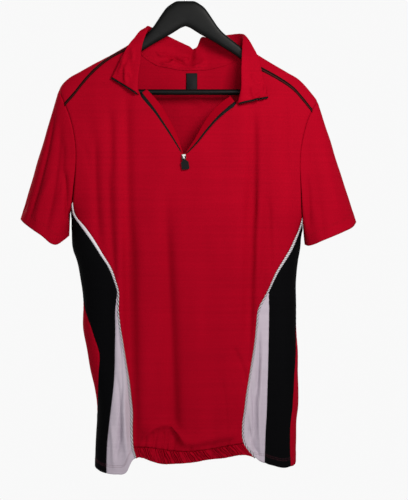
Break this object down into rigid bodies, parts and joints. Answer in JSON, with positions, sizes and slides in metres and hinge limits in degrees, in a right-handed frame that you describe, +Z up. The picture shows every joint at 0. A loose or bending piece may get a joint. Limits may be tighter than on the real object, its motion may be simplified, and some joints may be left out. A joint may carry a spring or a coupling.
{
  "type": "cycling jersey on a hanger",
  "caption": "Short-sleeved half-zip cycling jersey, red with black side panels and white wedges, hanging on a plain black hanger.",
  "frame": {"origin": "centre of the hanger's hook, where the wardrobe rail goes", "axes": "+X to the wearer's left, -Y out of the jersey's front, +Z up"},
  "size_m": [0.5712, 0.0915, 0.8822],
  "materials": {
    "red_knit": "smooth polyester knit, matte with a faint sheen",
    "red_facing": "the knit's deeper inner side",
    "black_knit": "matte black knit",
    "white_knit": "smooth white knit",
    "brown_tape": "dark brown woven tape",
    "black_tape": "black woven tape",
    "pull_black": "moulded, matte",
    "slider_steel": "bright nickel plated",
    "hanger_black": "black satin lacquer",
    "hook_steel": "polished wire"
  },
  "bodies": {
    "jersey": {"back_panel": "red_knit", "collar": "red_knit", "front_panel": "red_knit", "hanger": "hanger_black", "hanger_bar": "hanger_black", "hanger_hook": "hook_steel", "hem_band": "red_knit", "neck_label": "black_tape", "piping_left": "white_knit", "piping_right": "white_knit", "shoulder_tape_left": "brown_tape", "shoulder_tape_right": "brown_tape", "side_insert_left": "white_knit", "side_insert_right": "white_knit", "side_panel_left": "black_knit", "side_panel_right": "black_knit", "sleeve_left": "red_knit", "sleeve_right": "red_knit", "zip_facing_left": "red_facing", "zip_facing_right": "red_facing", "zip_slider": "slider_steel", "zip_tape_end_left": "black_tape", "zip_tape_end_right": "black_tape", "zip_tape_left": "black_tape", "zip_tape_right": "black_tape"},
    "pull_tab": {"zip_pull": "pull_black"}
  },
  "joints": [
    {"name": "pull_tab_swing", "type": "hinge", "parent": "jersey", "child": "pull_tab", "pos_m": [-0.0025, -0.04348, -0.326], "axis": [-1, 0, 0], "range_deg": [0, 170]}
  ]
}
